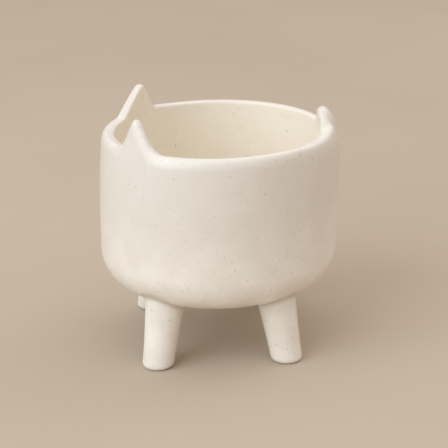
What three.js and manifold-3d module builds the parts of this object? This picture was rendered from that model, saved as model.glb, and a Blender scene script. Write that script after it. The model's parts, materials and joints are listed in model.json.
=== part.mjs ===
// Footed ceramic plant pot in the shape of a sitting cat: a round bowl with two ears and a tail
// rising from its rim, on four splayed legs. Millimetres, +Z up, the ears face -Y, and the origin
// is on the ground under the middle of the bowl.
import * as THREE from 'three';
import { mergeVertices } from 'three/addons/utils/BufferGeometryUtils.js';
import Module from 'manifold-3d';

const wasm = await Module();
wasm.setup();

// Clearance at every luted seat
const seatGap = 0.3;

// Bowl
const bowlRadius = 75.5;
const rimHeight = 140;
const bowlBottom = 39.5;
const cornerRadius = 23;
const wall = 6.5;
const floorThickness = 7;
const drawIn = 3.4;
const drawInHeight = 26;
const drainRadius = 5;

// Ears
const earHeading = THREE.MathUtils.degToRad(41.6);
const earHeight = 19;
const earWidth = 27;
const earTipRadius = 3.5;
const earFillet = 12;

// Tail: a tab on the rim, and a ridge that runs down the wall below it
const tailHeading = Math.PI;
const tabHeight = 11;
const tabWidth = 19;
const tabTipRadius = 7;
const tabFillet = 5.5;
const ridgeTopHalfWidth = 8;
const ridgeLowHalfWidth = 5.5;
const ridgeHalfDepth = 5.1;
const ridgeRoundEnd = 5;
// How far below the rim the ridge has its low end, its belly and its waist, and above it its top
const ridgeDrop = 52;
const ridgeBelly = 19;
const ridgeWaist = 5;
const ridgeRise = 6;
// How far its spine lies inside the face of the wall at the low end, waist, rim and top
const ridgeLowSink = 3.9;
const ridgeWaistSink = 2.3;
const ridgeRimSink = 0.7;
const ridgeTopSink = 2.1;

// Depth of the seat that an ear or the tail has in the wall, below the round of the rim
const seatDepth = 3;

// Legs
// How far the middle of a foot lies inside the side of the bowl: sideways, in front and behind
const footInsetSide = 26;
const footInsetFront = 32;
const footInsetRear = 37.5;
const splay = 6;
const footRadius = 10;
const footRound = 3.2;
const legTopRadius = 12.4;
const legCurve = 1.5;

// Facets
const bowlSides = 72;
const legSides = 24;
const ridgeSides = 16;
const arcSteps = 6;

const ear = { height: earHeight, width: earWidth, tipRadius: earTipRadius, fillet: earFillet };
const tab = { height: tabHeight, width: tabWidth, tipRadius: tabTipRadius, fillet: tabFillet };
const flaps = [
  { shape: ear, heading: earHeading },
  { shape: ear, heading: -earHeading },
  { shape: tab, heading: tailHeading },
];

const glaze = new THREE.MeshStandardMaterial({ color: 0xece4d6, roughness: 0.22, metalness: 0 });

// The wall leans in at the rim by this angle, square to which the rim and all flaps are set out
const rimLean = Math.atan2(drawIn, drawInHeight);
const rimNormal = new THREE.Vector2(Math.cos(rimLean), Math.sin(rimLean));
const rimUp = new THREE.Vector2(-Math.sin(rimLean), Math.cos(rimLean));
const wallTop = new THREE.Vector2(bowlRadius - drawIn, rimHeight - (wall / 2) * (1 - rimNormal.y));
const rimCentre = wallTop.clone().addScaledVector(rimNormal, -wall / 2);
const cornerCentre = new THREE.Vector2(bowlRadius - cornerRadius, bowlBottom + cornerRadius);

// Points of an arc about a centre, in the plane of a profile
function arc(centre, radius, start, end, steps) {
  const points = [];
  for (let i = 0; i <= steps; i += 1) {
    const angle = start + ((end - start) * i) / steps;
    points.push(new THREE.Vector2(Math.cos(angle), Math.sin(angle)).multiplyScalar(radius).add(centre));
  }
  return points;
}

// The side of the bowl from the top of its corner to the rim, moved out by an offset: plumb at
// first, then drawn in
const wallCurve = new THREE.QuadraticBezierCurve(
  new THREE.Vector2(bowlRadius, cornerCentre.y),
  new THREE.Vector2(bowlRadius, wallTop.y - drawInHeight),
  wallTop,
);

function wallLine(offset) {
  const points = [];
  for (let i = 0; i <= arcSteps; i += 1) {
    const along = wallCurve.getTangent(i / arcSteps);
    const outward = new THREE.Vector2(along.y, -along.x);
    points.push(wallCurve.getPoint(i / arcSteps).addScaledVector(outward, offset));
  }
  return points;
}

// Radius of the outer wall at a height, carried on straight above the rim
function wallRadiusAt(z) {
  if (z >= wallTop.y) return wallTop.x - (z - wallTop.y) * Math.tan(rimLean);
  const from = wallCurve.v0.y;
  const bend = wallCurve.v1.y - from;
  const rise = wallTop.y - from - 2 * bend;
  const reach = Math.max(z - from, 0);
  const t = reach / (bend + Math.sqrt(bend * bend + rise * reach));
  return wallCurve.getPoint(t).x;
}

function revolve(profile) {
  const closed = [...profile, profile[0]];
  return toSolid(new THREE.LatheGeometry(closed, bowlSides).rotateX(Math.PI / 2));
}

// A closed mesh becomes a solid that can be joined and cut
function toSolid(geometry) {
  geometry.deleteAttribute('normal');
  geometry.deleteAttribute('uv');
  const merged = mergeVertices(geometry);
  return new wasm.Manifold(new wasm.Mesh({
    numProp: 3,
    vertProperties: merged.attributes.position.array,
    triVerts: merged.index.array,
  }));
}

function toMesh(name, solid) {
  const cut = solid.getMesh();
  const geometry = new THREE.BufferGeometry();
  geometry.setAttribute('position', new THREE.BufferAttribute(cut.vertProperties, 3));
  geometry.setIndex(new THREE.BufferAttribute(cut.triVerts, 1));
  geometry.computeVertexNormals();
  const mesh = new THREE.Mesh(geometry, glaze);
  mesh.name = name;
  return mesh;
}

// A solid through rings of equally many points, closed by a flat cap at each end
function loft(rings) {
  const count = rings[0].length;
  const positions = rings.flat().flatMap((point) => point.toArray());
  const index = [];
  for (let i = 0; i + 1 < rings.length; i += 1) {
    for (let j = 0; j < count; j += 1) {
      const a = i * count + j;
      const b = i * count + ((j + 1) % count);
      index.push(a, b, b + count, a, b + count, a + count);
    }
  }
  const last = (rings.length - 1) * count;
  for (let j = 1; j + 1 < count; j += 1) {
    index.push(0, j + 1, j, last, last + j, last + j + 1);
  }
  const geometry = new THREE.BufferGeometry();
  geometry.setAttribute('position', new THREE.Float32BufferAttribute(positions, 3));
  geometry.setIndex(index);
  return geometry;
}

// Outline of a flap on the rim, from its middle to one end, as [distance along the rim, height,
// slope]: a round tip, a straight flank and a fillet that runs into the rim
function flapOutline({ height, width, tipRadius, fillet }) {
  const half = width / 2;
  const tipCentre = height - tipRadius;
  const angle = Math.atan2(tipCentre, half) + Math.asin(tipRadius / Math.hypot(half, tipCentre));
  const tangent = fillet * Math.tan(angle / 2);
  const outline = [];
  for (let i = 0; i <= arcSteps; i += 1) {
    const turn = (angle * i) / arcSteps;
    outline.push([tipRadius * Math.sin(turn), tipCentre + tipRadius * Math.cos(turn), Math.tan(turn)]);
  }
  for (let i = arcSteps; i >= 0; i -= 1) {
    const turn = (angle * i) / arcSteps;
    outline.push([half + tangent - fillet * Math.sin(turn), fillet * (1 - Math.cos(turn)), Math.tan(turn)]);
  }
  return outline;
}

// Place of a point on the wall at the rim: along the rim, across the wall and up it
function onRim(along, across, up) {
  const turn = along / rimCentre.x;
  const radius = rimCentre.x + across * rimNormal.x + up * rimUp.x;
  const z = rimCentre.y + across * rimNormal.y + up * rimUp.y;
  return new THREE.Vector3(radius * Math.sin(turn), -radius * Math.cos(turn), z);
}

// A flap of the wall's own thickness, standing on its seat in the rim with a round top edge
function flapSolid(shape, heading) {
  const side = flapOutline(shape);
  const stations = [...side.slice(1).reverse().map(([s, h, k]) => [-s, h, k]), ...side];
  const halfWall = wall / 2;
  const base = seatGap - seatDepth;
  const edge = arc(new THREE.Vector2(), 1, Math.PI, 0, arcSteps);
  const rings = stations.map(([s, h, k]) => {
    const crown = halfWall * Math.hypot(1, k);
    const shoulder = halfWall + h - crown;
    const round = edge.map(({ x, y }) => onRim(s, x * halfWall, shoulder + y * crown));
    return [onRim(s, halfWall, base), onRim(s, -halfWall, base), ...round];
  });
  return toSolid(loft(rings).rotateZ(heading));
}

// The block of space that a flap takes out of the wall, grown by a clearance
function flapSeat(shape, heading, grow) {
  const [end] = flapOutline(shape).at(-1);
  const low = seatGap - seatDepth - grow;
  const corners = [[wall, low], [-wall, low], [-wall, wall], [wall, wall]];
  const rings = [];
  for (let i = -arcSteps; i <= arcSteps; i += 1) {
    const s = ((end + grow) * i) / arcSteps;
    rings.push(corners.map(([across, up]) => onRim(s, across, up)));
  }
  return toSolid(loft(rings).rotateZ(heading));
}

// The bowl as if filled to the rim, grown by a clearance: what the legs and the tail seat against
function bowlEnvelope(grow) {
  const corner = arc(cornerCentre, cornerRadius + grow, -Math.PI / 2, 0, arcSteps);
  const rim = arc(rimCentre, wall / 2 + grow, rimLean, Math.PI / 2, arcSteps);
  return revolve([
    new THREE.Vector2(drainRadius, bowlBottom - grow),
    ...corner,
    ...wallLine(grow).slice(1),
    ...rim.slice(1),
    new THREE.Vector2(drainRadius, rimHeight + grow),
  ]);
}

// The bowl: corner, wall, half-round rim, inside wall, inside corner, floor and drain hole
function bowlSolid() {
  const insideCorner = cornerRadius - wall;
  const insideCentre = new THREE.Vector2(cornerCentre.x, bowlBottom + floorThickness + insideCorner);
  const inside = wallLine(-wall).reverse();
  const shell = revolve([
    new THREE.Vector2(drainRadius, bowlBottom),
    ...arc(cornerCentre, cornerRadius, -Math.PI / 2, 0, arcSteps),
    ...wallLine(0).slice(1),
    ...arc(rimCentre, wall / 2, rimLean, rimLean + Math.PI, arcSteps).slice(1),
    ...inside.slice(1, -1),
    ...arc(insideCentre, insideCorner, 0, -Math.PI / 2, arcSteps),
    new THREE.Vector2(drainRadius, bowlBottom + floorThickness),
  ]);
  const seats = flaps.map(({ shape, heading }) => flapSeat(shape, heading, seatGap));
  return seats.reduce((solid, seat) => solid.subtract(seat), shell);
}

// The tail's ridge: an oval section carried up a curve on the outside of the wall, with round ends
function ridgeSolid() {
  const spine = [
    [-ridgeDrop, -ridgeLowSink],
    [-(ridgeDrop + ridgeBelly) / 2, -ridgeLowSink / 2],
    [-ridgeBelly, 0],
    [-ridgeWaist, -ridgeWaistSink],
    [0, -ridgeRimSink],
    [ridgeRise, -ridgeTopSink],
  ].map(([rise, out]) => new THREE.Vector3(0, wallRadiusAt(rimHeight + rise) + out, rimHeight + rise));
  const curve = new THREE.CatmullRomCurve3(spine);
  const bodySteps = 3 * arcSteps;
  const stations = [];
  for (let i = 1 - arcSteps; i <= bodySteps + arcSteps - 1; i += 1) {
    const t = THREE.MathUtils.clamp(i, 0, bodySteps) / bodySteps;
    const beyond = (i - t * bodySteps) / arcSteps;
    stations.push([t, beyond * ridgeRoundEnd, Math.sqrt(1 - beyond * beyond)]);
  }
  const rings = stations.map(([t, beyond, size]) => {
    const along = curve.getTangent(t);
    const outward = new THREE.Vector3(0, along.z, -along.y);
    const centre = curve.getPoint(t).addScaledVector(along, beyond);
    const halfWidth = THREE.MathUtils.lerp(ridgeLowHalfWidth, ridgeTopHalfWidth, t);
    const section = arc(new THREE.Vector2(), size, 0, 2 * Math.PI, ridgeSides).slice(1);
    return section.map(({ x, y }) => {
      const point = centre.clone().addScaledVector(outward, y * ridgeHalfDepth);
      return point.setX(x * halfWidth);
    });
  });
  return toSolid(loft(rings));
}

// The tail: its tab in the rim, joined to the part of the ridge that stands outside the wall
function tailSolid() {
  const kept = bowlEnvelope(seatGap).subtract(flapSeat(tab, tailHeading, 0));
  return flapSolid(tab, tailHeading).add(ridgeSolid().subtract(kept));
}

// A leg: round sections up an axis that leans in from the foot, with a rounded foot, cut to the
// underside of the bowl
function legSolid(footX, footY) {
  const height = bowlBottom + cornerRadius / 2;
  const levels = [];
  for (let i = 0; i < arcSteps; i += 1) {
    const turn = (Math.PI / 2) * (i / arcSteps);
    levels.push([footRound * (1 - Math.cos(turn)), footRound * (1 - Math.sin(turn))]);
  }
  for (let i = 0; i <= 2 * arcSteps; i += 1) {
    levels.push([footRound + ((height - footRound) * i) / (2 * arcSteps), 0]);
  }
  const rings = levels.map(([z, inset]) => {
    const up = z / bowlBottom;
    const radius = footRadius + (legTopRadius - footRadius) * up ** legCurve - inset;
    const x = footX - Math.sign(footX) * splay * up;
    const y = footY - Math.sign(footY) * splay * up;
    const circle = arc(new THREE.Vector2(x, y), radius, 0, 2 * Math.PI, legSides).slice(1);
    return circle.map((point) => new THREE.Vector3(point.x, point.y, z));
  });
  return toSolid(loft(rings)).subtract(bowlEnvelope(seatGap));
}

const pot = new THREE.Group();
pot.add(toMesh('bowl', bowlSolid()));
pot.add(toMesh('ear_left', flapSolid(ear, earHeading)));
pot.add(toMesh('ear_right', flapSolid(ear, -earHeading)));
pot.add(toMesh('tail', tailSolid()));
const footX = bowlRadius - footInsetSide;
for (const [end, footY] of [['front', footInsetFront - bowlRadius], ['rear', bowlRadius - footInsetRear]]) {
  pot.add(toMesh(`leg_${end}_left`, legSolid(footX, footY)));
  pot.add(toMesh(`leg_${end}_right`, legSolid(-footX, footY)));
}

export default pot;
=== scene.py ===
# Looks of a footed plant pot: one glazed body with ears and a tail, on four splayed legs
import json

import bpy
import numpy as np
from mathutils import Matrix, Vector


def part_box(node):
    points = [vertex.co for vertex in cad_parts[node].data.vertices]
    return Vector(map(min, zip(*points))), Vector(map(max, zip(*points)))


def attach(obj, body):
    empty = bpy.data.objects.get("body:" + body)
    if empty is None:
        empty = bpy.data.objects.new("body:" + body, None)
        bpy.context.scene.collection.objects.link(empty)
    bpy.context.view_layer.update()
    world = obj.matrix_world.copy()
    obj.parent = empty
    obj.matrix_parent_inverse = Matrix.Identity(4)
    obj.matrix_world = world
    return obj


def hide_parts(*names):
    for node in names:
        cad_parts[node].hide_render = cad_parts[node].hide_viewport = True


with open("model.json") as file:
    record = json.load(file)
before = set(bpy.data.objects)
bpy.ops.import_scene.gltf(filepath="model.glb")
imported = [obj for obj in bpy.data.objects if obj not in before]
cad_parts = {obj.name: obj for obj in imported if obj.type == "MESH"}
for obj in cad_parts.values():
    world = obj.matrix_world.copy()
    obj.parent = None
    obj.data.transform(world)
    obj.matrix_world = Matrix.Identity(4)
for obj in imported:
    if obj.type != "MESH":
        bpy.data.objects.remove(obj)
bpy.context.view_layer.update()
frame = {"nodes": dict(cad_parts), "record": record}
mm = 0.001
print("frame loaded,", len(frame["nodes"]), "nodes")


# Smooth step from 0 at low to 1 at high: 3 t squared less 2 t cubed
def smoothStep(low, high, x):
    t = np.clip((x - low) / (high - low), 0, 1)
    return t * t * (3 - 2 * t)


# Hump, 1 at 0 and fading on both sides: e to the minus (x over the spread) to the power
def hump(x, spread, power):
    return np.exp(-(x / spread) ** power)


# Cubic through knots: at each knot the slope is the mean slope of its two neighbours
def smoothThrough(x, knots, values):
    slopes = np.gradient(values, knots)
    i = np.clip(np.searchsorted(knots, x) - 1, 0, len(knots) - 2)
    width = knots[i + 1] - knots[i]
    t = np.clip((x - knots[i]) / width, 0, 1)
    ends = values[i] * (1 + 2 * t) * (1 - t) ** 2 + values[i + 1] * t * t * (3 - 2 * t)
    return ends + width * t * (1 - t) * (slopes[i] * (1 - t) - slopes[i + 1] * t)


# Angle wrapped to plus or minus half a turn
def wrapped(angle):
    return (angle + np.pi) % (2 * np.pi) - np.pi


# Arc about a centre in the section's plane: centre plus radius times (cos, sin)
def arc(centre, radius, start, end, steps):
    turn = np.radians(np.linspace(start, end, steps))
    return np.stack([centre[0] + radius * np.cos(turn), centre[1] + radius * np.sin(turn)], -1)


# A smooth mesh object from points and faces, with masks that have one value per point
def makePiece(name, points, faces, masks, material):
    mesh = bpy.data.meshes.new(name)
    mesh.from_pydata(points.tolist(), [], faces)
    mesh.polygons.foreach_set("use_smooth", np.ones(len(mesh.polygons), bool))
    for key, values in masks.items():
        attribute = mesh.attributes.new(key, "FLOAT", "POINT")
        attribute.data.foreach_set("value", values.astype(np.float32).ravel())
    mesh.materials.append(material)
    mesh.update()
    piece = bpy.data.objects.new(name, mesh)
    bpy.context.scene.collection.objects.link(piece)
    print("made", name, "with", len(mesh.polygons), "faces")
    return piece


# A node with its settings, and its sockets set to values or linked
def addNode(tree, kind, settings, sockets):
    node = tree.nodes.new(kind)
    for key, value in settings.items():
        setattr(node, key, value)
    for key, value in sockets.items():
        if isinstance(value, bpy.types.NodeSocket):
            tree.links.new(value, node.inputs[key])
        else:
            node.inputs[key].default_value = value
    return node


# Result of one operation on values or sockets; multiply-add is first times second plus third
def mathNode(tree, operation, *values):
    node = addNode(tree, "ShaderNodeMath", {"operation": operation}, dict(enumerate(values)))
    return node.outputs[0]


# The same smooth step as a node, from 0 at low to 1 at high
def rangeNode(tree, value, low, high):
    sockets = {"Value": value, "From Min": low, "From Max": high}
    node = addNode(tree, "ShaderNodeMapRange", {"interpolation_type": "SMOOTHSTEP"}, sockets)
    return node.outputs[0]


# First colour times one less the share, plus second colour times the share
def mixColour(tree, share, first, second):
    node = addNode(tree, "ShaderNodeMix", {"data_type": "RGBA"}, {0: share, 6: first, 7: second})
    return node.outputs[2]


# Empty node group with float inputs, a vector input and one float output
def makeGroup(name, inputs, output):
    tree = bpy.data.node_groups.new(name, "ShaderNodeTree")
    tree.interface.new_socket("Vector", in_out="INPUT", socket_type="NodeSocketVector")
    for key in inputs:
        tree.interface.new_socket(key, in_out="INPUT", socket_type="NodeSocketFloat")
    tree.interface.new_socket(output, in_out="OUTPUT", socket_type="NodeSocketFloat")
    given = tree.nodes.new("NodeGroupInput").outputs
    out = tree.nodes.new("NodeGroupOutput").inputs[0]
    return tree, given, out


speckShape = {
    "smallest": 0.4,    # share of the given radius that the smallest speck has
    "faintest": 0.3,    # and of full strength that the faintest has
    "core": 0.35,       # the middle share of a speck is even
}


# Specks: in a share of the cells of that size, a soft ball of up to that radius round the cell's
# point, each with a size and a strength of its own
def speckGroup():
    tree, given, out = makeGroup("glazeSpecks", ["Cell", "Share", "Radius"], "Mask")
    smallest = speckShape["smallest"]
    faintest = speckShape["faintest"]
    scale = mathNode(tree, "DIVIDE", 1.0, given["Cell"])
    cells = addNode(tree, "ShaderNodeTexVoronoi", {}, {"Vector": given["Vector"], "Scale": scale})
    chance = addNode(tree, "ShaderNodeSeparateColor", {}, {0: cells.outputs["Color"]}).outputs
    size = mathNode(tree, "MULTIPLY_ADD", chance[1], 1 - smallest, smallest)
    reach = mathNode(tree, "MULTIPLY", mathNode(tree, "MULTIPLY", given["Radius"], scale), size)
    core = mathNode(tree, "MULTIPLY", reach, speckShape["core"])
    ball = rangeNode(tree, cells.outputs["Distance"], reach, core)
    chosen = mathNode(tree, "LESS_THAN", chance[0], given["Share"])
    strength = mathNode(tree, "MULTIPLY_ADD", chance[2], 1 - faintest, faintest)
    mask = mathNode(tree, "MULTIPLY", mathNode(tree, "MULTIPLY", ball, chosen), strength)
    tree.links.new(mask, out)
    return tree


cloudShape = {
    "roughness": 0.5,
    "spread": (0.3, 0.7),    # noise between these fills 0 to 1
}


# Clouds: soft noise of that size, spread to fill 0 to 1
def cloudGroup():
    tree, given, out = makeGroup("glazeClouds", ["Size", "Detail"], "Value")
    sockets = {
        "Vector": given["Vector"],
        "Scale": mathNode(tree, "DIVIDE", 1.0, given["Size"]),
        "Detail": given["Detail"],
        "Roughness": cloudShape["roughness"],
    }
    noise = addNode(tree, "ShaderNodeTexNoise", {}, sockets)
    tree.links.new(rangeNode(tree, noise.outputs[0], *cloudShape["spread"]), out)
    return tree


specks = speckGroup()
clouds = cloudGroup()

glaze = {
    "cream": (0.83, 0.79, 0.725, 1),
    "lowCream": (0.96, 0.915, 0.84, 1),      # painted light: paler low down, where light bounces up from the floor
    "lowLevels": (110 * mm, 50 * mm),
    "warmCream": (0.80, 0.745, 0.665, 1),    # where it lies thin over the clay, in clouds
    "cloudSize": 17 * mm,
    "cloudDetail": 2.0,
    "cloudShare": 0.45,
    "insideCream": (0.95, 0.895, 0.785, 1),  # painted light: paler inside, where light bounces round the bowl
    "edgeCream": (0.92, 0.895, 0.825, 1),    # painted light: paler on the round of the edge
    "fineSpeck": (0.5, 0.43, 0.36, 1),
    "fineCell": 2.2 * mm,
    "fineShare": 0.6,
    "fineRadius": 0.72 * mm,
    "fineStrength": 0.62,
    "insideFade": 0.5,                       # fine specks are fainter inside by this share
    "speck": (0.36, 0.28, 0.2, 1),
    "speckCell": 4.6 * mm,
    "speckShare": 0.4,
    "speckRadius": 0.95 * mm,
    "speckStrength": 0.65,
    "iron": (0.1, 0.07, 0.05, 1),            # a few dark spots of iron
    "ironCell": 13 * mm,
    "ironShare": 0.14,
    "ironRadius": 0.62 * mm,
    "pooled": (0.57, 0.49, 0.35, 1),         # thick glaze in corners goes tan, and painted shade darkens the legs' joints
    "pooledShare": 0.6,
    "clay": (0.62, 0.5, 0.38, 1),            # bare under the feet
    "clayLevel": 0.5 * mm,
    "clayRoughness": 0.8,
    "roughness": (0.26, 0.38),
    "rippleSize": 12 * mm,
    "rippleDetail": 0.0,
    "rippleHeight": 0.09 * mm,
    "grainSize": 1.7 * mm,
    "grainDetail": 1.0,
    "grainHeight": 0.008 * mm,
    "ior": 1.5,
    "coat": 0.22,
    "coatRoughness": 0.1,
}


# Cream glaze: layers of colour, each over the one before by its share, from cream painted paler low down,
# inside and on the edge's round, and warmer cream in clouds, to three kinds of specks and tan where it
# pooled, partly painted shade, then bare clay under a foot; relief is a slow ripple plus a fine grain
def glazeMaterial(name, bareFoot):
    material = bpy.data.materials.new(name)
    material.use_nodes = True
    tree = material.node_tree
    place = addNode(tree, "ShaderNodeTexCoord", {}, {}).outputs["Object"]
    height = addNode(tree, "ShaderNodeSeparateXYZ", {}, {0: place}).outputs[2]

    # A mask that the mesh carries
    def mask(key):
        return addNode(tree, "ShaderNodeAttribute", {"attribute_name": key}, {}).outputs["Fac"]

    # Clouds of one kind, with the size and detail given for it
    def cloud(kind):
        sockets = {"Vector": place, "Size": glaze[kind + "Size"], "Detail": glaze[kind + "Detail"]}
        return addNode(tree, "ShaderNodeGroup", {"node_tree": clouds}, sockets).outputs[0]

    # Specks of one kind, with the cell, share and radius given for it
    def speck(kind):
        sockets = {"Vector": place}
        for key in ("Cell", "Share", "Radius"):
            sockets[key] = glaze[kind + key]
        return addNode(tree, "ShaderNodeGroup", {"node_tree": specks}, sockets).outputs[0]

    slow = cloud("cloud")
    inside = mask("inside")
    fade = mathNode(tree, "MULTIPLY_ADD", inside, -glaze["insideFade"], 1.0)
    fineStrength = mathNode(tree, "MULTIPLY", fade, glaze["fineStrength"])
    # Paler cream low down, inside and on the edge's round is painted light; the pooled tan is partly
    # painted shade
    layers = {
        "lowCream": rangeNode(tree, height, *glaze["lowLevels"]),
        "warmCream": mathNode(tree, "MULTIPLY", slow, glaze["cloudShare"]),
        "insideCream": inside,
        "edgeCream": mask("edge"),
        "fineSpeck": mathNode(tree, "MULTIPLY", speck("fine"), fineStrength),
        "speck": mathNode(tree, "MULTIPLY", speck("speck"), glaze["speckStrength"]),
        "iron": speck("iron"),
        "pooled": mathNode(tree, "MULTIPLY", mask("pooling"), glaze["pooledShare"]),
    }
    colour = glaze["cream"]
    for key, share in layers.items():
        colour = mixColour(tree, share, colour, glaze[key])
    low, high = glaze["roughness"]
    roughness = mathNode(tree, "MULTIPLY_ADD", slow, high - low, low)
    if bareFoot:
        bare = rangeNode(tree, height, glaze["clayLevel"], 0.0)
        colour = mixColour(tree, bare, colour, glaze["clay"])
        rougher = mathNode(tree, "SUBTRACT", glaze["clayRoughness"], roughness)
        roughness = mathNode(tree, "MULTIPLY_ADD", rougher, bare, roughness)
    ripple = mathNode(tree, "MULTIPLY", cloud("ripple"), glaze["rippleHeight"])
    relief = mathNode(tree, "MULTIPLY_ADD", cloud("grain"), glaze["grainHeight"], ripple)
    normal = addNode(tree, "ShaderNodeBump", {}, {"Height": relief, "Distance": 1.0}).outputs[0]
    shader = tree.nodes["Principled BSDF"]
    for key, value in {"Base Color": colour, "Roughness": roughness, "Normal": normal}.items():
        tree.links.new(value, shader.inputs[key])
    shader.inputs["IOR"].default_value = glaze["ior"]
    shader.inputs["Coat Weight"].default_value = glaze["coat"]
    shader.inputs["Coat Roughness"].default_value = glaze["coatRoughness"]
    return material


bodyGlaze = glazeMaterial("creamGlaze", False)
legGlaze = glazeMaterial("creamGlazeBareFoot", True)
print("glaze mixed")

# Bowl: places from the frame, the rest as thrown. Headings go round from -Y, the ears' side, to +X
bowlLow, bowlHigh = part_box("bowl")
bowl = {
    "radius": bowlHigh.x,
    "bottom": bowlLow.z,
    "rim": bowlHigh.z,
    "wall": 6.5 * mm,
    "floor": 7 * mm,
    "corner": 23 * mm,
    "drawIn": 3.4 * mm,               # how far the wall leans in at the rim
    "drawInHeight": 26 * mm,          # over this height
    "drain": 5 * mm,
    "drainEdge": 1.4 * mm,            # round of the drain hole's two edges
    "edgePower": 5,                   # power of the oval inside the edge: 2 is an ellipse, more is squarer
    "squareHeadings": (np.radians(85), np.radians(165)),    # outside it gets squarer towards the tail
    "rimSoft": 4.6 * mm,              # the outside of the edge rounds off this much lower than the inside
    "crispShare": 0.8,                # by this share less so round this heading, and painted lighter there
    "crispHeading": np.radians(-36),
    "crispSpread": np.radians(54),
    "steepest": 2.4,                  # the edge gets deeper on steep flanks, up to this many times
    "rimOnly": (4 * mm, 0.5 * mm),    # what only the level rim has fades in below these heights
    "milkyHeading": np.radians(150),  # where the edge is painted lightest
    "levelSlope": 0.5,                # the edge is painted lighter only where it slopes less than this
    "insideStarts": (-0.5, -0.95),    # cosines of the edge's turn where the inside's glaze begins
    "floorPooling": 0.4,              # how much glaze has pooled, with painted shade, in the corner of the floor
    "frontPad": 1.3 * mm,             # the wall is thicker inside between the ears
    "frontSpread": np.radians(38),
    "frontLevels": (-40 * mm, -6 * mm),
    "rimLift": 1.3 * mm,              # the rim is a little higher beside the ear on the -X side
    "liftHeading": np.radians(-50),
    "liftSpread": np.radians(13),
    "rimTilt": 0.7 * mm,              # and slopes down by this much to the +X side
    "waver": 0.16 * mm,               # a thrown wall is never quite round
    "waves": [(1, 2, 0.6, 9), (0.7, 3, 2.1, -14)],    # strength, waves in a turn, phase, twist per metre
    "waverFade": 40 * mm,             # the waver grows over this height above the underside
}

# Each ear is shaped by hand, so they differ a little
ears = [
    {
        "heading": np.radians(41.6),
        "height": 19 * mm,
        "width": 27 * mm,
        "tipRadius": 3.5 * mm,
        "fillet": 12 * mm,
        "soften": 1.0 * mm,
        "lean": -2.2 * mm,            # its tip is pushed this far along the rim
        "edgePower": 2.8,             # its inner edge is rounder than the rim's
        "edgeBlend": (1 * mm, 8 * mm),    # and turns into the rim's between these heights
    },
    {
        "heading": np.radians(-42.1),
        "height": 17.1 * mm,
        "width": 31.5 * mm,
        "tipRadius": 3.5 * mm,
        "fillet": 4.5 * mm,
        "soften": 1.0 * mm,
        "lean": -4.2 * mm,
        "edgePower": 6,               # here squarer than the rim's
        "edgeBlend": (1 * mm, 8 * mm),
    },
]
tail = {
    "heading": np.pi,
    "height": 11 * mm,
    "width": 20 * mm,
    "tipRadius": 9.3 * mm,
    "fillet": 4.0 * mm,
    "soften": 1.5 * mm,
    "lean": 0,
    "edgePower": 2.5,
    "edgeBlend": (1 * mm, 4 * mm),
    "tabHeights": (1 * mm, 6 * mm),   # the rim turns into the tab between these heights
    "tabSlope": 0.18,                 # the tab's outer side is straighter than an oval
    "tabSpread": 14 * mm,             # the rim's squarer edge ends this far from the tab's middle
    "flatEnds": (24 * mm, 8 * mm),    # and goes no further round on the other side
    "dipLevels": (-6 * mm, 3 * mm),   # the tab keeps the outside's colour, and the inside's painted light begins below these levels
    # Ridge: levels from the rim, and how far its middle stands out of the wall there
    "levels": np.array([-66, -56, -45, -32, -19, -6, 1]) * mm,
    "prouds": np.array([0, 0.4, 1.7, 2.1, 2.7, 0.8, 1.1]) * mm,
    "topHalf": 20 * mm,               # half its width at the top and at the bottom, fillets included
    "lowHalf": 9 * mm,
    "plateau": 1.5,                   # above 1, its top is flat and its sides are steeper
    "crestShare": 0.2,                # the tab's crest lies this share of the ridge off the wall's middle
    "slopeShare": 0.75,               # its outer side rounds off lower by this many times the ridge
    "padProud": 3.2 * mm,             # the rim is thicker beside the tab, most on the +X side
    "padMiddle": -12 * mm,
    "padHalves": (42 * mm, 24 * mm),  # half the pad's width on the +X side and on the other
    "padLevels": (-50 * mm, -2 * mm),
    "rounds": 4,                      # ridge and edge depend on each other, and settle in these rounds
}

# Derived places on the bowl's section, as (radius, height)
wallLean = np.arctan2(bowl["drawIn"], bowl["drawInHeight"])
rimNormal = np.array([np.cos(wallLean), np.sin(wallLean)])
rimUp = np.array([-np.sin(wallLean), np.cos(wallLean)])
halfWall = bowl["wall"] / 2
wallTop = np.array([bowl["radius"] - bowl["drawIn"], bowl["rim"] - halfWall * (1 - rimNormal[1])])
rimCentre = wallTop - rimNormal * halfWall
cornerCentre = np.array([bowl["radius"] - bowl["corner"], bowl["bottom"] + bowl["corner"]])
innerCorner = bowl["corner"] - bowl["wall"]
innerCentre = np.array([cornerCentre[0], bowl["bottom"] + bowl["floor"] + innerCorner])

# How finely the body is drawn
bodyMesh = {
    "headings": 540,                  # columns round the pot, closer together at ears and tail
    "earExtra": (2, np.radians(14)),  # by this added density, over this spread
    "tipExtra": (3, np.radians(4)),
    "tailExtra": (3, np.radians(11)),
    "drainEdge": 6,                   # stations on each stretch of the section
    "flat": 10,
    "corner": 20,
    "wall": 54,
    "edge": 25,
    "innerWall": 34,
    "innerCorner": 14,
    "crowding": 1.3,                  # above 1, stations on the walls get closer towards the top
}

# Fine grids for sums and look-up: headings, shares of the wall's line and places along the rim
fineTurn = np.linspace(-np.pi, np.pi, 7201)
fineWall = np.linspace(0, 1, 401)
fineAlong = np.linspace(-40 * mm, 40 * mm, 801)


# Side of the bowl: a quadratic curve, plumb at the corner and leaning in at the rim, moved out
# along its own normal by the offset
def wallLine(t, offset):
    t = t[:, None]
    start = np.array([bowl["radius"], cornerCentre[1]])
    middle = np.array([bowl["radius"], wallTop[1] - bowl["drawInHeight"]])
    point = (1 - t) ** 2 * start + 2 * t * (1 - t) * middle + t ** 2 * wallTop
    along = 2 * (1 - t) * (middle - start) + 2 * t * (wallTop - middle)
    along /= np.linalg.norm(along, axis=1, keepdims=True)
    return point + offset * np.stack([along[:, 1], -along[:, 0]], -1)


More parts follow.
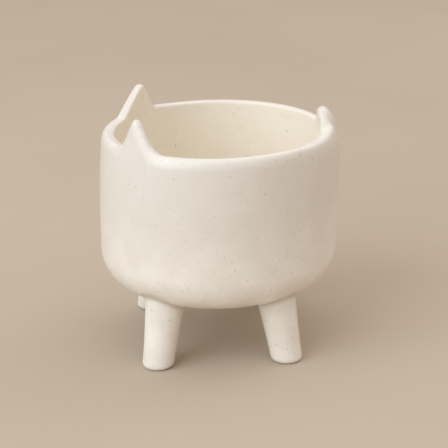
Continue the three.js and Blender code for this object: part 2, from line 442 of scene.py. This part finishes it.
# The same line carried on straight above the rim by a rise for each heading, and stepped by length
# from the corner up, closer together towards the top
def risingWall(offset, rise, steps):
    line = wallLine(fineWall, offset)
    lengths = np.concatenate([[0], np.cumsum(np.linalg.norm(np.diff(line, axis=0), axis=1))])
    share = 1 - (1 - np.linspace(0, 1, steps + 1)[None, 1:]) ** bodyMesh["crowding"]
    reach = share * (lengths[-1] + rise)
    point = np.stack([np.interp(reach, lengths, line[:, k]) for k in (0, 1)], -1)
    return point + np.maximum(reach - lengths[-1], 0)[..., None] * rimUp


# Height and slope of a flap's outline at a distance along the rim: a round tip, a straight flank
# and a fillet that runs into the rim, softened by a bell curve and leaning in proportion to height
def flapOutline(along, shape):
    s = np.abs(fineAlong)
    half = shape["width"] / 2
    tip = shape["tipRadius"]
    fillet = shape["fillet"]
    tipCentre = shape["height"] - tip
    steep = np.arctan2(tipCentre, half) + np.arcsin(tip / np.hypot(half, tipCentre))
    end = half + fillet * np.tan(steep / 2)
    tipEnd = tip * np.sin(steep)
    filletStart = end - fillet * np.sin(steep)
    onTip = tipCentre + np.sqrt(np.maximum(tip ** 2 - np.minimum(s, tipEnd) ** 2, 0))
    onFlank = tipCentre + tip * np.cos(steep) - (s - tipEnd) * np.tan(steep)
    onFillet = fillet - np.sqrt(fillet ** 2 - np.clip(end - s, 0, end - filletStart) ** 2)
    height = np.select([s < tipEnd, s < filletStart, s < end], [onTip, onFlank, onFillet], 0)
    bell = np.exp(-(fineAlong / shape["soften"]) ** 2 / 2)
    height = np.convolve(height, bell / bell.sum(), "same")
    leaning = fineAlong + shape["lean"] * height / shape["height"]
    slope = np.gradient(height, leaning)
    return np.interp(along, leaning, height), np.interp(along, leaning, slope)


# How far the outside stands out of the wall: the tail's ridge, a depth for each level times the
# squared cosine of a power of the share of its half width, plus a hump that pads the rim beside it
def ridgeProud(across, rise):
    low, top = tail["levels"][[0, -1]]
    upward = np.clip((rise - low) / (top - low), 0, 1)
    half = tail["lowHalf"] + (tail["topHalf"] - tail["lowHalf"]) * upward
    section = np.cos(np.pi / 2 * np.minimum(np.abs(across) / half, 1) ** tail["plateau"]) ** 2
    ridge = section * smoothThrough(np.clip(rise, low, top), tail["levels"], tail["prouds"])
    beside = across - tail["padMiddle"]
    pad = tail["padProud"] * hump(beside, np.where(beside < 0, *tail["padHalves"]), 4)
    return ridge + pad * smoothStep(*tail["padLevels"], rise)


# Headings round the pot as a column, closer together at ears and tail: equal shares of a density of
# 1 plus humps
def spacedHeadings():
    extras = [(tail["heading"], bodyMesh["tailExtra"], 4)]
    for ear in ears:
        extras.append((ear["heading"], bodyMesh["earExtra"], 4))
        extras.append((ear["heading"], bodyMesh["tipExtra"], 2))
    density = np.ones_like(fineTurn)
    for heading, (extra, spread), power in extras:
        density += extra * hump(wrapped(fineTurn - heading), spread, power)
    total = np.concatenate([[0], np.cumsum((density[1:] + density[:-1]) / 2)])
    share = np.arange(bodyMesh["headings"])[:, None] / bodyMesh["headings"]
    return np.interp(share * total[-1], total, fineTurn)


# Rim at each heading, as columns: height and slope are sums over the tail and the ears, with a lift
# beside one ear and a tilt, and the power of the inner edge blends from the rim's to each flap's own;
# also how far it is the tail's tab, how crisp it is, and its pad between the ears
def rimShape(heading):
    height = 0
    slope = 0
    edgePower = bowl["edgePower"]
    for flap in [tail] + ears:
        along = wrapped(heading - flap["heading"]) * rimCentre[0]
        flapHeight, flapSlope = flapOutline(along, flap)
        height = height + flapHeight
        slope = slope + flapSlope
        onFlap = smoothStep(*flap["edgeBlend"], flapHeight)
        edgePower = edgePower + onFlap * (flap["edgePower"] - edgePower)
    lift = bowl["rimLift"] * hump(wrapped(heading - bowl["liftHeading"]), bowl["liftSpread"], 2)
    tilt = bowl["rimTilt"] * (1 + np.sin(heading)) / 2
    tailAlong = wrapped(heading - tail["heading"]) * rimCentre[0]
    tabHeight = flapOutline(tailAlong, tail)[0]
    return {
        "heading": heading,
        "tailAlong": tailAlong,
        "height": height + lift - tilt,
        "slope": slope,
        "edgePower": edgePower,
        "onTab": smoothStep(*tail["tabHeights"], tabHeight),
        "crisp": hump(wrapped(heading - bowl["crispHeading"]), bowl["crispSpread"], 4),
        "frontPad": bowl["frontPad"] * hump(heading, bowl["frontSpread"], 4),
    }


# Round edge by heading and turn, which goes from 0 outside to half a turn inside: distances across the
# wall and up from the rim's middle, as a quarter of an oval on each side of a crest, deeper on steep
# flanks and, outside, where the rim is soft and the ridge thickens the tab; also the rises of the outer
# and the inner wall up to it
def roundEdge(rim, turn):
    top = halfWall + rim["height"]
    steepness = np.minimum(np.hypot(1, rim["slope"]), bowl["steepest"])
    rimSoft = bowl["rimSoft"] * (1 - bowl["crispShare"] * rim["crisp"])
    innerCrown = halfWall * steepness
    ridge = np.zeros_like(top)
    for again in range(tail["rounds"]):
        outerCrown = (halfWall + rimSoft) * steepness + tail["slopeShare"] * ridge
        shoulder = rimCentre[1] + (top - outerCrown) * rimUp[1]
        ridge = ridgeProud(rim["tailAlong"], shoulder - bowl["rim"])
    crest = tail["crestShare"] * ridge
    towardsTail = smoothStep(*bowl["squareHeadings"], np.abs(rim["heading"]))
    towardsTail = towardsTail * smoothStep(*tail["flatEnds"], rim["tailAlong"])
    offTab = 1 - hump(rim["tailAlong"], tail["tabSpread"], 2)
    squarer = towardsTail * offTab * smoothStep(*bowl["rimOnly"], rim["height"])
    squarer = squarer - tail["tabSlope"] * rim["onTab"]
    onOuter = turn < np.pi / 2
    power = np.where(onOuter, 1 / (1 + squarer), 2 / rim["edgePower"])
    half = np.where(onOuter, halfWall + ridge - crest, halfWall + crest + rim["frontPad"])
    depth = np.where(onOuter, outerCrown, innerCrown)
    across = crest + half * np.sign(np.cos(turn)) * np.abs(np.cos(turn)) ** power
    upward = top - depth * (1 - np.sin(turn) ** power)
    return across, upward, top - outerCrown, top - innerCrown


# Masks by heading and station: inside is 1 from late in the edge's turn, less on the tab; edge is painted
# light, greatest on the crest of a level rim, near the heading painted lightest and where it is crisp
def glazeMasks(rim, turn, outerCount, rise):
    innerStart = outerCount + turn.size
    onInner = smoothStep(*bowl["insideStarts"], np.cos(turn))
    inside = np.ones(rise.shape)
    inside[:, :outerCount] = 0
    inside[:, outerCount:innerStart] = onInner
    # The tab keeps the outside's colour, without the painted light of the inside
    inside = inside * (1 - rim["onTab"] * smoothStep(*tail["dipLevels"], rise))
    onCrest = np.where(turn < np.pi / 2, np.sin(turn), 1 - onInner)
    lightShare = ((1 + np.cos(rim["heading"] - bowl["milkyHeading"])) / 2) ** 2
    level = smoothStep(*bowl["rimOnly"], rim["height"]) * hump(rim["slope"], bowl["levelSlope"], 2)
    edge = np.zeros(rise.shape)
    edge[:, outerCount:innerStart] = onCrest * np.maximum(lightShare, rim["crisp"]) * level
    return inside, edge


# Body by heading and station, its section closed on itself: drain edge, underside, corner, wall, round
# edge, inside wall, inside corner, floor and drain edge, turned about the axis; also its two masks
def bodyPoints(heading):
    rim = rimShape(heading)
    turn = np.linspace(0, np.pi, bodyMesh["edge"] + 2)[None, 1:-1]
    across, upward, outerRise, innerRise = roundEdge(rim, turn)
    edge = bowl["drainEdge"]
    floorLevel = bowl["bottom"] + bowl["floor"]
    lowEdge = arc((bowl["drain"] + edge, bowl["bottom"] + edge), edge, 180, 270, bodyMesh["drainEdge"])
    topEdge = arc((bowl["drain"] + edge, floorLevel - edge), edge, 90, 180, bodyMesh["drainEdge"])
    flat = np.linspace(0, 1, bodyMesh["flat"] + 2)[1:-1, None]
    cornerFoot = cornerCentre - [0, bowl["corner"]]
    innerFoot = innerCentre - [0, innerCorner]
    outer = [
        lowEdge,
        lowEdge[-1] + flat * (cornerFoot - lowEdge[-1]),
        arc(cornerCentre, bowl["corner"], -90, 0, bodyMesh["corner"]),
        risingWall(0, outerRise, bodyMesh["wall"]),
    ]
    edgeRound = rimCentre + across[..., None] * rimNormal + upward[..., None] * rimUp
    inner = [
        risingWall(-bowl["wall"], innerRise, bodyMesh["innerWall"])[:, ::-1],
        arc(innerCentre, innerCorner, 0, -90, bodyMesh["innerCorner"]),
        innerFoot + flat * (topEdge[0] - innerFoot),
        topEdge,
    ]
    stretches = outer + [edgeRound] + inner
    section = np.concatenate([np.broadcast_to(s, (len(heading),) + s.shape[-2:]) for s in stretches], 1)

    # The ridge moves the outer face out and the front pad moves the inner one in; the edge has both
    outerCount = sum(s.shape[-2] for s in outer)
    station = np.arange(section.shape[1])
    rise = section[..., 1] - bowl["rim"]
    inside, edgeLight = glazeMasks(rim, turn, outerCount, rise)
    ridge = (station < outerCount) * ridgeProud(rim["tailAlong"], rise)
    pad = (station >= outerCount + turn.size) * rim["frontPad"] * smoothStep(*bowl["frontLevels"], rise)
    section = section + (ridge - pad)[..., None] * rimNormal
    radius = section[..., 0]
    z = section[..., 1]

    # Waver of the wall: slow waves round the pot that twist with height and fade to the underside
    wave = 0
    for strength, count, phase, twist in bowl["waves"]:
        wave = wave + strength * np.sin(count * heading + phase + twist * z)
    fade = smoothStep(bowl["bottom"], bowl["bottom"] + bowl["waverFade"], z)
    radius = radius + bowl["waver"] * wave * fade
    points = np.stack([radius * np.sin(heading), -radius * np.cos(heading), z], -1)
    return points, inside, edgeLight


# Faces of a grid whose rows and columns both run round to their start
def wrapQuads(rows, columns):
    i, j = np.meshgrid(np.arange(rows), np.arange(columns), indexing="ij")
    here = i * columns
    after = (i + 1) % rows * columns
    k = (j + 1) % columns
    return np.stack([here + j, after + j, after + k, here + k], -1).reshape(-1, 4)


leg = {
    "footRadius": 10 * mm,
    "footRound": 3.2 * mm,
    "topRadius": 12.4 * mm,
    "curve": 1.5,            # how late the leg widens on its way up
    "splay": 6 * mm,         # lean in each direction from the foot to the bowl's underside
    "fillet": 1.5 * mm,
    "sunk": 0.7 * mm,        # how far the hidden top goes into the bowl
    "poolReach": 3.5 * mm,   # glaze pools, and shade is painted, this far from the joint
    "sides": 96,
    "soleRings": np.array([0.35, 0.7, 1]),    # shares of the sole's radius
    "footRings": 10,
    "shaftRings": 33,
    "filletRings": 8,
    "rounds": 12,            # of going up to the bowl's underside
}


# Middle and radius of a leg at a height: it leans in from the foot, and widens late on its way up
def legSection(foot, z):
    inward = -np.sign(foot) * leg["splay"] / bowl["bottom"]
    share = np.maximum(z, 0) / bowl["bottom"]
    girth = leg["footRadius"] + (leg["topRadius"] - leg["footRadius"]) * share ** leg["curve"]
    return foot[0] + inward[0] * z, foot[1] + inward[1] * z, girth


# Height of the bowl's underside over a radius: flat, then the corner's arc
def undersideHeight(radius):
    reach = np.clip(radius - cornerCentre[0], 0, bowl["corner"])
    return cornerCentre[1] - np.sqrt(bowl["corner"] ** 2 - reach ** 2)


# Leg by ring and angle: circles about its axis with a flat sole, a rounded foot and a small fillet that
# follows the underside of the bowl; also how much glaze has pooled and shade is painted at each point
def legPoints(foot):
    turn = np.linspace(0, 2 * np.pi, leg["sides"] + 1)[None, :-1]

    # Places at a height: the leg's middle plus its radius and an extra, times (cos, sin)
    def ringAt(z, extra):
        x, y, girth = legSection(foot, z)
        return x + (girth + extra) * np.cos(turn), y + (girth + extra) * np.sin(turn)

    # Height where the leg, made wider by extra, meets the underside less a gap: a few rounds of
    # going up to the underside at the place that the height gives
    def underBowl(extra, gap):
        z = np.full(np.broadcast_shapes(np.shape(extra), turn.shape), bowl["bottom"])
        for again in range(leg["rounds"]):
            z = undersideHeight(np.hypot(*ringAt(z, extra))) - gap
        return z

    footRound = leg["footRound"]
    fillet = leg["fillet"]
    sole = leg["soleRings"][:, None] * (leg["footRadius"] - footRound) - leg["footRadius"]
    corner = np.linspace(0, np.pi / 2, leg["footRings"] + 1)[1:, None]
    bend = np.linspace(0, np.pi / 2, leg["filletRings"] + 1)[1:, None]
    bendExtra = fillet * (1 - np.cos(bend))
    top = underBowl(0, fillet)
    shaft = footRound + np.linspace(0, 1, leg["shaftRings"] + 1)[1:, None] * (top - footRound)
    sunkTop = underBowl(fillet, 0) + leg["sunk"]
    stretches = [
        (np.zeros_like(sole), sole),
        (footRound * (1 - np.cos(corner)), footRound * (np.sin(corner) - 1)),
        (shaft, np.zeros_like(shaft)),
        (underBowl(bendExtra, fillet * (1 - np.sin(bend))), bendExtra),
        (sunkTop, np.full_like(sunkTop, fillet - leg["sunk"])),
    ]
    z = np.concatenate([np.broadcast_to(h, (len(h), turn.size)) for h, e in stretches])
    extra = np.concatenate([np.broadcast_to(e, (len(e), turn.size)) for h, e in stretches])
    pooling = smoothStep(leg["poolReach"], 0, top + fillet - z)
    return np.stack([*ringAt(z, extra), z], -1), pooling


# Faces of rings from the bottom up, with a fan of triangles to a middle point at each end
def ringFaces(rings, sides):
    i, j = np.meshgrid(np.arange(rings - 1), np.arange(sides), indexing="ij")
    k = (j + 1) % sides
    quads = np.stack([i * sides + j, i * sides + k, (i + 1) * sides + k, (i + 1) * sides + j], -1)
    here = np.arange(sides)
    beside = (here + 1) % sides
    last = (rings - 1) * sides
    low = np.stack([np.full(sides, rings * sides), beside, here], -1)
    high = np.stack([np.full(sides, rings * sides + 1), last + here, last + beside], -1)
    return quads.reshape(-1, 4).tolist() + low.tolist() + high.tolist()


# Pooled glaze and painted shade on the body: in the corner of the floor inside, deeper further down, and
# outside round each leg's joint, fading with the distance from it
def bodyPoolingAndShade(points, inside, feet):
    x, y, z = np.moveaxis(points, -1, 0)
    floorLevel = bowl["bottom"] + bowl["floor"]
    pooling = bowl["floorPooling"] * inside * smoothStep(innerCentre[1], floorLevel, z)
    low = z < cornerCentre[1]
    for foot in feet:
        middleX, middleY, girth = legSection(foot, z)
        away = np.hypot(x - middleX, y - middleY) - girth - leg["fillet"]
        pooling = np.maximum(pooling, (1 - inside) * low * smoothStep(leg["poolReach"], 0, away))
    return pooling


# Feet stand on the foot mounts of the record
mounts = {m["name"]: m["pos_m"] for m in frame["record"]["mounts"] if m["name"].startswith("foot_")}
feet = {name.replace("foot_", "leg_"): np.array(place[:2]) for name, place in mounts.items()}

points, inside, edgeLight = bodyPoints(spacedHeadings())
# Edge paints light on the rim's round, inside marks where the bowl is painted paler, and pooling also
# paints shade at the legs' joints
masks = {"pooling": bodyPoolingAndShade(points, inside, feet.values()), "inside": inside, "edge": edgeLight}
faces = wrapQuads(*points.shape[:2]).tolist()
body = makePiece("glazedBody", points.reshape(-1, 3), faces, masks, bodyGlaze)
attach(body, "root")
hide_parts("bowl", "ear_left", "ear_right", "tail")

for node, foot in feet.items():
    first, *others = node.split("_")
    name = first + "".join(word.capitalize() for word in others)
    rings, pooling = legPoints(foot)
    middles = np.stack([rings[0].mean(0), rings[-1].mean(0)])
    points = np.concatenate([rings.reshape(-1, 3), middles])
    masks = {"pooling": np.concatenate([pooling.ravel(), [0, 1]])}
    piece = makePiece(name, points, ringFaces(*rings.shape[:2]), masks, legGlaze)
    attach(piece, "root")
    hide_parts(node)

floor = {
    "reach": 12,
    "colour": (0.555, 0.478, 0.38, 1),
    "shade": (0.53, 0.456, 0.36, 1),
    "cloudSize": 0.35,
    "cloudDetail": 3.0,
    "roughness": 0.8,
    "specular": 0.1,
}


# Plain pale floor: a square whose colour goes to its shade by faint clouds
def makeFloor():
    reach = floor["reach"]
    mesh = bpy.data.meshes.new("floor")
    corners = [(-reach, -reach, 0), (reach, -reach, 0), (reach, reach, 0), (-reach, reach, 0)]
    mesh.from_pydata(corners, [], [(0, 1, 2, 3)])
    material = bpy.data.materials.new("paleFloor")
    material.use_nodes = True
    tree = material.node_tree
    place = addNode(tree, "ShaderNodeTexCoord", {}, {}).outputs["Object"]
    sockets = {"Vector": place, "Size": floor["cloudSize"], "Detail": floor["cloudDetail"]}
    cloud = addNode(tree, "ShaderNodeGroup", {"node_tree": clouds}, sockets).outputs[0]
    shader = tree.nodes["Principled BSDF"]
    tree.links.new(mixColour(tree, cloud, floor["colour"], floor["shade"]), shader.inputs["Base Color"])
    shader.inputs["Roughness"].default_value = floor["roughness"]
    shader.inputs["Specular IOR Level"].default_value = floor["specular"]
    mesh.materials.append(material)
    piece = bpy.data.objects.new("floor", mesh)
    bpy.context.scene.collection.objects.link(piece)


makeFloor()
print("floor laid")

view = {
    "azimuth": np.radians(85.45),
    "elevation": np.radians(19.22),
    "roll": np.radians(-1.13),
    "distance": 950 * mm,
    "lens": 118.3,
    "aimSide": 3.72 * mm,    # the point aimed at: sideways of the pot's axis, and above the floor
    "aimHeight": 74.92 * mm,
}


# Camera at the photograph's view: back along the heading, raised, then rolled
def makeCamera():
    sinA, cosA = np.sin(view["azimuth"]), np.cos(view["azimuth"])
    sinE, cosE = np.sin(view["elevation"]), np.cos(view["elevation"])
    back = Vector((sinA * cosE, -cosA * cosE, sinE))
    right = Vector((cosA, sinA, 0))
    up = back.cross(right)
    rolledRight = right * np.cos(view["roll"]) + up * np.sin(view["roll"])
    rolledUp = up * np.cos(view["roll"]) - right * np.sin(view["roll"])
    eye = right * view["aimSide"] + Vector((0, 0, view["aimHeight"])) + back * view["distance"]
    camera = bpy.data.objects.new("camera", bpy.data.cameras.new("camera"))
    camera.data.lens = view["lens"]
    columns = Matrix((rolledRight, rolledUp, back)).transposed().to_4x4()
    camera.matrix_world = Matrix.Translation(eye) @ columns
    bpy.context.scene.collection.objects.link(camera)
    bpy.context.scene.camera = camera


makeCamera()
print("camera set")

light = {
    "key": {"place": (1.26, -1.85, 1.4), "size": 2.4, "power": 43.5, "colour": (0.8, 0.92, 1)},
    "edge": {"place": (-0.54, 1.15, 1.35), "size": 1.0, "power": 3, "colour": (1, 0.95, 0.9)},
    "aim": Vector((0, 0, 80 * mm)),
    "domeColour": (1, 0.905, 0.855, 1),
    "domeLow": 0.33,         # strength at the horizon and overhead
    "domeHigh": 1.04,
}


# A soft square lamp that faces the pot: its Z axis points from the aim to its place
def makeLamp(name):
    lamp = bpy.data.lights.new(name + "Lamp", "AREA")
    lamp.size = light[name]["size"]
    lamp.energy = light[name]["power"]
    lamp.color = light[name]["colour"]
    piece = bpy.data.objects.new(name + "Lamp", lamp)
    piece.location = light[name]["place"]
    piece.rotation_euler = (piece.location - light["aim"]).to_track_quat("Z", "Y").to_euler()
    bpy.context.scene.collection.objects.link(piece)


# Dome of light whose strength rises evenly with the height of the direction
def makeDome():
    world = bpy.data.worlds.new("dome")
    world.use_nodes = True
    tree = world.node_tree
    toward = addNode(tree, "ShaderNodeTexCoord", {}, {}).outputs["Generated"]
    height = addNode(tree, "ShaderNodeSeparateXYZ", {}, {0: toward}).outputs[2]
    sockets = {"Value": height, "To Min": light["domeLow"], "To Max": light["domeHigh"]}
    strength = addNode(tree, "ShaderNodeMapRange", {}, sockets).outputs[0]
    background = tree.nodes["Background"]
    background.inputs["Color"].default_value = light["domeColour"]
    tree.links.new(strength, background.inputs["Strength"])
    bpy.context.scene.world = world


makeLamp("key")
makeLamp("edge")
makeDome()
bpy.context.scene.view_settings.view_transform = "Standard"
print("lamps on")
